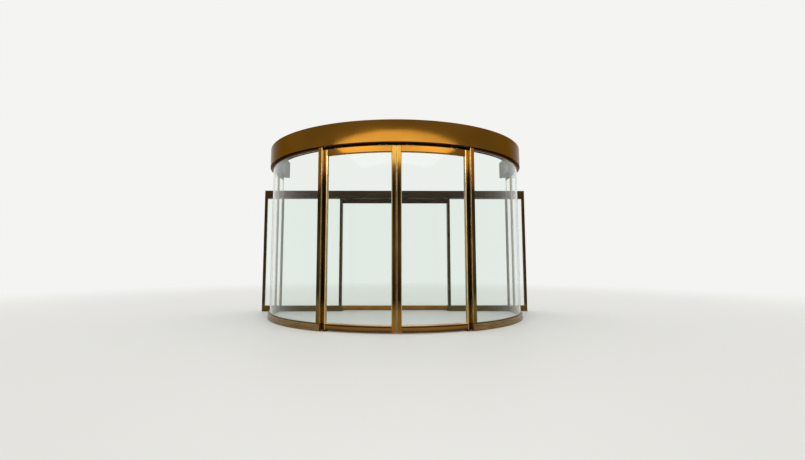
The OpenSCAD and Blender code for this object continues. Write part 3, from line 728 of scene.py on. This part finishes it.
SILLS = steps_out("screen_sills")
surround_paths = []
for side, sign in SIDES.items():
    side_faces = both_faces(GLASS_IN, GLASS_OUT)
    surround_paths += round_curved_pane(sign, side_faces, JAMB_A1, POST_A, STRIP_TOP, CHANNEL_FOOT)
    surround_paths += round_return(sign, side_faces, POST_BACK, SCREEN_FRONT, STRIP_TOP, CHANNEL_FOOT)
    for node, (x0, x1) in (("sidelight_glass", SILLS[0:2]), ("outer_light_glass", SILLS[2:4])):
        surround_paths += round_flat_pane(sign, both_faces(*depths(node)), x0, x1, SILL_TOP, BEAM_FOOT)
    gaskets(f"leaf_{side}_gaskets", f"front_leaf_{side}", round_curved_pane(
        sign, both_faces(*reach("leaf_right_glass")), *swing("leaf_right_top_rail"),
        levels("leaf_right_bottom_rail")[1], levels("leaf_right_top_rail")[0]))
    low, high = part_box("inner_right_glass")
    gaskets(f"inner_{side}_gaskets", f"inner_leaf_{side}", round_flat_pane(
        sign, both_faces(low.y, high.y), low.x + INNER_BITE, high.x - INNER_BITE,
        low.z + INNER_BITE_FOOT, high.z - INNER_BITE))
gaskets("surround_gaskets", "surround", surround_paths)


# Seals and brushes

def add_run(shape, outlines):
    """Adds a closed bar that runs through rings of points."""
    rings = [[shape.verts.new(point) for point in outline] for outline in outlines]
    for near, far in zip(rings, rings[1:]):
        for i in range(len(near)):
            j = (i + 1) % len(near)
            shape.faces.new((near[i], near[j], far[j], far[i]))
    for end in (rings[0], rings[-1]):
        shape.faces.new(end)


def built(name, body, shape, finish):
    """Makes a shape a piece on a body, with its faces outwards and its gentle edges smooth."""
    bmesh.ops.recalc_face_normals(shape, faces=shape.faces)
    mesh = smooth_mesh(shape, name, BUILT_SMOOTH_TURN)
    mesh.materials.append(finish)
    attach(linked(name, mesh), body)


# Outline of a meeting seal in millimetres, across the leaf and out from its edge: two lips and a hollow
SEAL_OUTLINE = [(-9, -0.3), (-9, 1.6), (-7.5, 2.4), (-5.5, 2.5), (-3, 1.6), (3, 1.6), (5.5, 2.5), (7.5, 2.4),
                (9, 1.6), (9, -0.3)]
SEAL_END = 2 * MM


def bar_outline(outline_mm, origin, across, out):
    """An outline of (across, out) pairs in millimetres, set at a place with those two directions."""
    return [origin + across * (u * MM) + out * (v * MM) for u, v in outline_mm]


def upright(ring, z0, z1):
    """The same ring at two heights."""
    return [[point + UP * z for point in ring] for z in (z0, z1)]


def round_drum(outline_mm, radius, z, angles):
    """An outline set on the drum at a radius and height, at each of the angles."""
    return [bar_outline(outline_mm, on_drum(radius, a, z), outwards(a), UP) for a in angles]


for side, sign in SIDES.items():
    angle = sign * LEAF_A0
    curved = bmesh.new()
    add_run(curved, upright(
        bar_outline(SEAL_OUTLINE, on_drum(LEAF_MID, angle, 0), outwards(angle), -sign * along(angle)),
        LEAF_FOOT + SEAL_END, LEAF_HEAD - SEAL_END))
    built(f"leaf_{side}_meeting_seal", f"front_leaf_{side}", curved, EPDM)
    straight = bmesh.new()
    add_run(straight, upright(
        bar_outline(SEAL_OUTLINE, Vector((sign * INNER_X0, INNER_MID, 0)), BACK, -sign * RIGHT),
        INNER_FOOT + SEAL_END, INNER_HEAD - SEAL_END))
    built(f"inner_{side}_meeting_seal", f"inner_leaf_{side}", straight, EPDM)

BRISTLE = bristle_tree()
# Real bristles are 0.15 mm thick; these are coarser and further apart, so that they show
BRISTLE_R = 0.45 * MM
BRISTLE_SPACING = 1.5 * MM
# A brush has two rows of bristles, that end short of what they close on
ROW_GAP = 1.3 * MM
ROWS = (-ROW_GAP / 2, ROW_GAP / 2)
PILE_SHORT = 0.6 * MM
# Thickness of the holders on the jambs and the door posts, and depth of the groove that holds the bristles
JAMB_HOLDER_T = 1.5 * MM
POST_HOLDER_T = 3.0 * MM
HOLDER_GROOVE = 0.8 * MM


def brush(name, body, paths, direction, pile_length, seed):
    """Bristles along paths, that grow in the direction given for a point."""
    grown(name, body, BRISTLE, path_mesh(paths, direction), {
        "Spacing": BRISTLE_SPACING, "Length": pile_length, "Thickness": BRISTLE_R, "Seed": seed,
        "Material": PILE})


def holder_outline(thickness):
    """Outline of a brush holder in millimetres: a flat bar with a groove for the bristles in its face."""
    top = thickness / MM
    bed = (thickness - HOLDER_GROOVE) / MM
    return [(-4, -0.1), (-4, top), (-2.2, top), (-2.2, bed), (2.2, bed), (2.2, top), (4, top), (4, -0.1)]


# A brush on each jamb's inner face closes the gap to the leaf's trailing stile
JAMB_BRUSH_A = (JAMB_A0 + LEAF_A1) / 2
JAMB_BRUSH_R = JAMB_IN - JAMB_HOLDER_T + HOLDER_GROOVE
holders = bmesh.new()
rows = []
for sign in SIDES.values():
    a = sign * JAMB_BRUSH_A
    add_run(holders, upright(
        bar_outline(holder_outline(JAMB_HOLDER_T), on_drum(JAMB_IN, a, 0), along(a), -outwards(a)),
        LEAF_FOOT, CHANNEL_FOOT))
    rows += [[on_drum(JAMB_BRUSH_R, a, z) + along(a) * u for z in (LEAF_FOOT, CHANNEL_FOOT)] for u in ROWS]
built("jamb_brush_holders", "surround", holders, BRONZE)
brush("jamb_brushes", "surround", rows, lambda point: Vector((-point.x, DRUM_Y - point.y, 0)).normalized(),
      pile_length=JAMB_BRUSH_R - LEAF_OUT - PILE_SHORT, seed=3)

# A brush on each door post's back closes the gap to the inner leaf
POST_BRUSH_X = (steps_out("screen_posts")[0] + INNER_X1) / 2
POST_BRUSH_Y = SCREEN_BACK + POST_HOLDER_T - HOLDER_GROOVE
holders = bmesh.new()
rows = []
for sign in SIDES.values():
    x = sign * POST_BRUSH_X
    add_run(holders, upright(
        bar_outline(holder_outline(POST_HOLDER_T), Vector((x, SCREEN_BACK, 0)), RIGHT, BACK),
        INNER_FOOT, INNER_HEAD))
    rows += [[Vector((x + u, POST_BRUSH_Y, z)) for z in (INNER_FOOT, INNER_HEAD)] for u in ROWS]
built("door_post_brush_holders", "surround", holders, BRONZE)
brush("door_post_brushes", "surround", rows, lambda point: BACK,
      pile_length=INNER_FRONT - POST_BRUSH_Y - PILE_SHORT, seed=5)

# A brush on the header's inner lip closes the gap over the curved leaves, all along their way. A thin fin
# between its rows of bristles keeps light and draught out
SLOT_R = LEAF_IN + 6 * MM
SLOT_A = math.radians(54)
SLOT_STEPS = stops_between(-SLOT_A, SLOT_A, ARC_STEP)
# Depth of the groove that holds the bristles, and the gap between their tips and the leaves
SLOT_GROOVE = 2 * MM
SLOT_CLEARANCE = 3 * MM
SLOT_PILE_TOP = HEADER_FOOT - SLOT_GROOVE
SLOT_PILE = SLOT_PILE_TOP - SLOT_CLEARANCE - LEAF_HEAD
# Outlines in millimetres, out from the middle of the brush and up: of the holder and of the fin, which ends
# a little over the bristles' tips
SLOT_BED = -SLOT_GROOVE / MM
SLOT_HOLDER = [(-3, -4), (-3, 5.7), (3, 5.7), (3, -4), (1.8, -4), (1.8, SLOT_BED), (-1.8, SLOT_BED),
               (-1.8, -4)]
FIN_HALF_T = 0.15
FIN_SHORT = 0.5
FIN_FOOT = FIN_SHORT - SLOT_PILE / MM
SLOT_FIN = [(-FIN_HALF_T, 0), (-FIN_HALF_T, FIN_FOOT), (FIN_HALF_T, FIN_FOOT), (FIN_HALF_T, 0)]
holder = bmesh.new()
add_run(holder, round_drum(SLOT_HOLDER, SLOT_R, HEADER_FOOT, SLOT_STEPS))
built("slot_brush_holder", "surround", holder, BRONZE)
fin = bmesh.new()
add_run(fin, round_drum(SLOT_FIN, SLOT_R, SLOT_PILE_TOP, SLOT_STEPS))
built("slot_brush_fin", "surround", fin, PILE)
rows = [[on_drum(SLOT_R + u, a, SLOT_PILE_TOP) for a in SLOT_STEPS] for u in ROWS]
brush("slot_brush", "surround", rows, lambda point: -UP, pile_length=SLOT_PILE, seed=11)

# Under each leaf, brushes on both sides of the guide's groove reach down nearly to the guides' plates
UNDER_PILE = 6 * MM
LEAF_UNDER_AT = 19 * MM
INNER_UNDER_AT = 15 * MM
LEAF_STEPS = stops_between(LEAF_A0, LEAF_A1, ARC_STEP)


def rows_beside(offset):
    """Where the rows of two brushes lie, at that distance on both sides of a middle."""
    return [middle + u for middle in (-offset, offset) for u in ROWS]


for side, sign in SIDES.items():
    rows = [[on_drum(LEAF_MID + u, sign * a, LEAF_FOOT) for a in LEAF_STEPS]
            for u in rows_beside(LEAF_UNDER_AT)]
    brush(f"leaf_{side}_floor_brushes", f"front_leaf_{side}", rows, lambda point: -UP,
          pile_length=UNDER_PILE, seed=7)
    rows = [[Vector((sign * x, INNER_MID + u, INNER_FOOT)) for x in (INNER_X0, INNER_X1)]
            for u in rows_beside(INNER_UNDER_AT)]
    brush(f"inner_{side}_floor_brushes", f"inner_leaf_{side}", rows, lambda point: -UP,
          pile_length=UNDER_PILE, seed=9)


# Screws and bolts

def turned_head(name, outline_mm, sides):
    """A head turned from an outline of radius and height in millimetres, from its rim up to its middle."""
    shape = bmesh.new()
    rings = []
    for radius, height in outline_mm:
        turns = sides if radius else 1
        rings.append([shape.verts.new(Vector((radius * math.cos(t), radius * math.sin(t), height)) * MM)
                      for t in (2 * math.pi * i / turns for i in range(turns))])
    for low, high in zip(rings, rings[1:]):
        for i in range(sides):
            j = (i + 1) % sides
            top = (high[0],) if len(high) == 1 else (high[j], high[i])
            shape.faces.new((low[i], low[j], *top))
    shape.faces.new(list(reversed(rings[0])))
    return linked(name, smooth_mesh(shape, name, BUILT_SMOOTH_TURN))


# M4 pan head with a round socket, M8 hexagon head on a washer, and M5 countersunk head
PAN_HEAD = turned_head("pan_head", [
    (4.0, -0.2), (4.0, 0.9), (3.6, 1.8), (2.8, 2.4), (1.5, 2.6), (1.3, 1.2), (0, 1.0)], sides=16)
HEX_HEAD = turned_head("hex_head", [(7.5, -0.2), (7.5, 6.3), (6.6, 6.9), (0, 6.9)], sides=6)
WASHER = turned_head("washer", [(8.0, -0.2), (8.0, 1.4), (7.6, 1.6), (0, 1.6)], sides=20)
SUNK_HEAD = turned_head("countersunk_head", [
    (4.6, -0.2), (4.6, 0.15), (4.3, 0.3), (1.6, 0.3), (1.4, -0.1), (0, -0.15)], sides=16)
FASTENER = fastener_tree()


def fasteners(name, body, head, spots):
    """Heads on a body at spots of (point, the way that the head looks)."""
    mesh = bpy.data.meshes.new("spots")
    mesh.from_pydata([point for point, way in spots], [], [])
    store(mesh, "facing", [way for point, way in spots])
    grown(name, body, FASTENER, mesh, {"Head": head, "Material": STAINLESS})


SCREW_EDGE = 20 * MM

# Pan heads along both edges of the header's inner plate, round the drum and along its straight returns
HEADER_SCREW_A = math.radians(78)
HEADER_SCREW_STEP = math.radians(12.5)
RETURN_SCREW_Y = (DRUM_Y + 50 * MM, SCREEN_FRONT - 40 * MM)
spots = []
for z in (HEADER_FOOT + SCREW_EDGE, HEADER_TOP - SCREW_EDGE):
    spots += [(on_drum(HEADER_IN, a, z), -outwards(a))
              for a in stops_between(-HEADER_SCREW_A, HEADER_SCREW_A, HEADER_SCREW_STEP)]
    spots += [(Vector((sign * HEADER_IN, y, z)), -sign * RIGHT)
              for sign in SIDES.values() for y in RETURN_SCREW_Y]
fasteners("header_screws", "surround", PAN_HEAD, spots)

# Pan heads along the top of the cover behind the screen and along the lip under it, beside its back plate
COVER_SCREW_X = steps_out("operator_cover")[-1] - 100 * MM
COVER_SCREW_Y = depths("operator_cover")[1] - SCREW_EDGE
COVER_SCREW_STEP = 0.45
COVER_FOOT, COVER_TOP = levels("operator_cover")
spots = [(Vector((x, COVER_SCREW_Y, z)), way)
         for x in stops_between(-COVER_SCREW_X, COVER_SCREW_X, COVER_SCREW_STEP)
         for z, way in ((COVER_FOOT, -UP), (COVER_TOP, UP))]
fasteners("cover_screws", "surround", PAN_HEAD, spots)

# Bolts that hold the curved rail's bracket to the header
BRACKET_T = 6 * MM
TRACK_BOLT_R = reach("curved_track")[1] - BRACKET_T
TRACK_BOLT_Z = levels("curved_track")[1] - SCREW_EDGE
TRACK_BOLT_A = swing("curved_track")[1] - math.radians(2)
TRACK_BOLT_STEP = math.radians(9)
spots = [(on_drum(TRACK_BOLT_R, a, TRACK_BOLT_Z), -outwards(a))
         for a in stops_between(-TRACK_BOLT_A, TRACK_BOLT_A, TRACK_BOLT_STEP)]
fasteners("track_bolts", "surround", HEX_HEAD, spots)
fasteners("track_washers", "surround", WASHER, spots)

# Screws that hold the straight rail's bracket to the screen's header
RAIL_SCREW_X = steps_out("screen_track")[-1] - 60 * MM
RAIL_SCREW_Y = depths("screen_track")[1] - BRACKET_T
RAIL_SCREW_Z = levels("screen_track")[1] - 14 * MM
RAIL_SCREW_STEP = 0.4
spots = [(Vector((x, RAIL_SCREW_Y, RAIL_SCREW_Z)), -BACK)
         for x in stops_between(-RAIL_SCREW_X, RAIL_SCREW_X, RAIL_SCREW_STEP)]
fasteners("straight_track_screws", "surround", PAN_HEAD, spots)

# Countersunk screws that hold the floor guides' plates down, beside their fins
GUIDE_T = 5 * MM
GUIDE_L = 70 * MM
GUIDE_END = 12 * MM
GUIDE_SCREW_R = (LEAF_MID - 18 * MM, JAMB_IN + 9 * MM)
GUIDE_SCREW_A = (JAMB_A0 - (GUIDE_L - GUIDE_END) / LEAF_MID, JAMB_A0 - GUIDE_END / LEAF_MID)
GUIDE_SCREW_X = (INNER_X1 - GUIDE_L + GUIDE_END, INNER_X1 - GUIDE_END)
GUIDE_SCREW_Y = (SCREEN_BACK + 12 * MM, INNER_BACK - 8 * MM)
spots = []
for sign in SIDES.values():
    spots += [(on_drum(r, sign * a, GUIDE_T), UP) for a in GUIDE_SCREW_A for r in GUIDE_SCREW_R]
    spots += [(Vector((sign * x, y, GUIDE_T)), UP) for x in GUIDE_SCREW_X for y in GUIDE_SCREW_Y]
fasteners("guide_screws", "surround", SUNK_HEAD, spots)

# Bolts through the hangers' feet into the leaves, one on each side of a hanger's middle
HANGER_T = 6 * MM
HANGER_A = (math.radians(5), math.radians(22.5))
HANGER_BOLT_R = LEAF_MID + 3 * MM
HANGER_BOLT_A = 42 * MM / HANGER_BOLT_R
for side, sign in SIDES.items():
    spots = [(on_drum(HANGER_BOLT_R, sign * (a + turn), LEAF_HEAD + HANGER_T), UP)
             for a in HANGER_A for turn in (-HANGER_BOLT_A, HANGER_BOLT_A)]
    fasteners(f"leaf_{side}_hanger_bolts", f"front_leaf_{side}", HEX_HEAD, spots)
    fasteners(f"leaf_{side}_hanger_washers", f"front_leaf_{side}", WASHER, spots)
for head in (PAN_HEAD, HEX_HEAD, WASHER, SUNK_HEAD):
    bpy.data.objects.remove(head)


# Floor, light and camera

BACKGROUND = "#f4f4f2"
FLOOR_HALF = 60.0
FLOOR_ROUGHNESS = 0.6
# The floor fades into the background between these distances from the origin
FADE_FROM, FADE_TO = 5.0, 12.0


def shown_rays(tree):
    """1 for rays that show the background: from the camera, off gloss and through glass."""
    rays = add_node(tree, "ShaderNodeLightPath")
    seen = add_node(tree, "ShaderNodeMath", {
        0: rays.outputs["Is Camera Ray"], 1: rays.outputs["Is Glossy Ray"]}, operation="MAXIMUM")
    return add_node(tree, "ShaderNodeMath", {0: seen.outputs[0], 1: rays.outputs["Is Transmission Ray"]},
                    operation="MAXIMUM").outputs[0]


def make_floor():
    """A plain pale floor that takes the shadow, and fades into the background far from the entrance."""
    material, tree, shader = new_material("pale_floor")
    shader.inputs["Base Color"].default_value = linear("#e9e8e5")
    shader.inputs["Roughness"].default_value = FLOOR_ROUGHNESS
    place = add_node(tree, "ShaderNodeTexCoord").outputs["Object"]
    away = add_node(tree, "ShaderNodeVectorMath", {0: place}, operation="LENGTH")
    fade = add_node(tree, "ShaderNodeMapRange", {
        "Value": away.outputs["Value"], "From Min": FADE_FROM, "From Max": FADE_TO},
        interpolation_type="SMOOTHSTEP")
    amount = add_node(tree, "ShaderNodeMath", {0: fade.outputs["Result"], 1: shown_rays(tree)},
                      operation="MULTIPLY")
    far = add_node(tree, "ShaderNodeEmission", {"Color": linear(BACKGROUND), "Strength": 1.0})
    mix = add_node(tree, "ShaderNodeMixShader", {
        0: amount.outputs[0], 1: shader.outputs[0], 2: far.outputs[0]})
    set_surface(tree, mix.outputs[0])
    mesh = bpy.data.meshes.new("floor")
    corner_signs = [(-1, -1), (1, -1), (1, 1), (-1, 1)]
    mesh.from_pydata([(x * FLOOR_HALF, y * FLOOR_HALF, 0) for x, y in corner_signs], [], [(0, 1, 2, 3)])
    mesh.materials.append(material)
    linked("floor", mesh)


def make_world():
    """An even white world: the background, and the fill light for everything."""
    world = bpy.data.worlds.new("studio")
    bpy.context.scene.world = world
    world.use_nodes = True
    tree = world.node_tree
    tree.nodes.clear()
    backdrop = add_node(tree, "ShaderNodeBackground", {"Color": linear(BACKGROUND), "Strength": 1.0})
    add_node(tree, "ShaderNodeOutputWorld", {"Surface": backdrop.outputs[0]})


def add_softbox(name, at, target, size, brightness, in_gloss_only=False):
    """A large soft lamp that faces a target; brightness 1 is the white of the background."""
    lamp = bpy.data.lights.new(name, "AREA")
    lamp.shape = "RECTANGLE"
    lamp.size, lamp.size_y = size
    lamp.energy = brightness * math.pi * size[0] * size[1]
    softbox = linked(name, lamp)
    softbox.location = at
    softbox.rotation_euler = (Vector(target) - Vector(at)).to_track_quat("-Z", "Y").to_euler()
    softbox.visible_camera = False
    softbox.visible_transmission = False
    softbox.visible_diffuse = not in_gloss_only


def make_lamps():
    """A soft lamp over all, and a flat one before the fascia, level with its top, that only gloss shows."""
    add_softbox("top_softbox", at=(0, 0.5, 6.5), target=(0, 0.3, 0), size=(6.0, 6.0), brightness=0.5)
    add_softbox("fascia_softbox", at=(0, -2.66, 2.64), target=(0, -2.66, 0), size=(3.6, 1.8), brightness=5.0,
                in_gloss_only=True)


def make_camera():
    """The photograph's camera."""
    lens = bpy.data.cameras.new("camera")
    lens.sensor_fit = "HORIZONTAL"
    lens.sensor_width = CAMERA_SENSOR
    lens.lens = CAMERA_LENS
    lens.shift_x, lens.shift_y = CAMERA_SHIFT
    camera = linked("camera", lens)
    camera.location = CAMERA_AT
    camera.rotation_euler = [math.radians(a) for a in (90 + CAMERA_PITCH, 0.0, -CAMERA_YAW)]
    bpy.context.scene.camera = camera


make_floor()
make_world()
make_lamps()
make_camera()
bpy.context.scene.view_settings.view_transform = "Standard"
